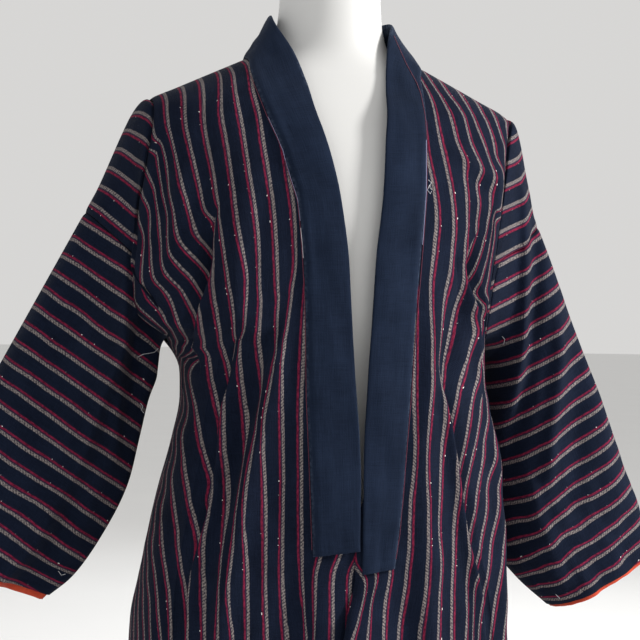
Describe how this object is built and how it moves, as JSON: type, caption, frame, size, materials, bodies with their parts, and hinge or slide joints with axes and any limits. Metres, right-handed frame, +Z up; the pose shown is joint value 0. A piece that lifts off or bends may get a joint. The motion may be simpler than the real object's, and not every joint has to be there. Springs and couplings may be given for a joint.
{
  "type": "noragi jacket on dress form",
  "caption": "Open-front striped cotton work jacket with a plain neckband and wide open sleeves, worn by a smooth limbless dress form on a pole and round base.",
  "frame": {"origin": "middle of the stand's underside, on the floor", "axes": "+Z up, the jacket's open front faces -Y, the wearer's right sleeve points to -X"},
  "size_m": [0.7626, 0.3119, 1.04],
  "materials": {
    "striped_cotton": "woven navy cotton with narrow red and grey-beige stripes, matt",
    "collar_cotton": "plain faded indigo cotton, doubled, matt",
    "red_lining": "plain orange-red cotton, matt",
    "form_plastic": "smooth white, soft sheen",
    "stand_metal": "brushed"
  },
  "bodies": {
    "root": {"dress_form": "form_plastic", "form_pole": "stand_metal", "form_base": "stand_metal", "body_right": "striped_cotton", "body_left": "striped_cotton", "sleeve_right_upper": "striped_cotton", "sleeve_right_lower": "striped_cotton", "sleeve_left_upper": "striped_cotton", "sleeve_left_lower": "striped_cotton", "cuff_lining_right": "red_lining", "cuff_lining_left": "red_lining", "collar": "collar_cotton"}
  },
  "joints": []
}
